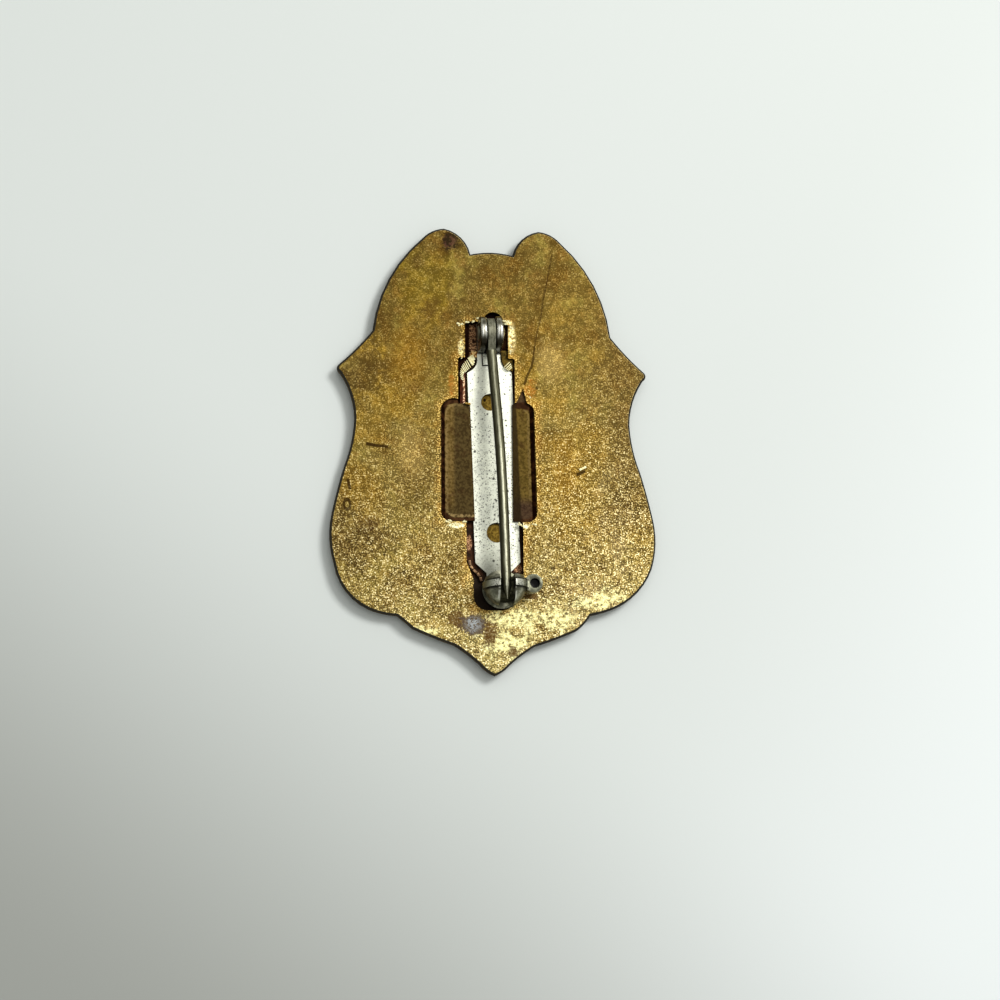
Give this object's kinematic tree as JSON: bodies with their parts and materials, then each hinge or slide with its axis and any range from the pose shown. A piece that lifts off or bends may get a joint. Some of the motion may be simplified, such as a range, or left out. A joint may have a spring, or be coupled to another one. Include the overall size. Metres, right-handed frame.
{
  "type": "shield pin badge",
  "caption": "Shield-shaped brass pin badge lying face down, with a hinged pin on a bar in its stepped back pocket and a turning safety catch.",
  "frame": {"origin": "centre of the bounding box, at the front rim that the badge lies on", "axes": "+X right and +Y towards the top lobes as the back is seen, +Z out of the back"},
  "size_m": [0.041, 0.0572, 0.0069],
  "materials": {
    "brass": "struck brass with a sandy matte back and brown tarnish",
    "nickel": "bright nickel plate with small dark pits",
    "steel_wire": "drawn wire with a yellowed grey tarnish",
    "gunmetal": "dark tarnished nickel"
  },
  "bodies": {
    "badge": {"badge_plate": "brass", "pin_bar": "nickel", "hinge_rivet": "gunmetal", "catch_housing": "gunmetal"},
    "pin": {"pin_stem": "steel_wire"},
    "lock": {"catch_lock": "gunmetal"}
  },
  "joints": [
    {"name": "pin_swing", "type": "hinge", "parent": "badge", "child": "pin", "pos_m": [-0.00046, 0.0147, 0.00335], "axis": [-0.9993, -0.0361, 0], "range_deg": [0, 100]},
    {"name": "lock_turn", "type": "hinge", "parent": "badge", "child": "lock", "pos_m": [0.00101, -0.01765, 0.0043], "axis": [0.0361, -0.9993, 0], "range_deg": [0, 120]}
  ]
}
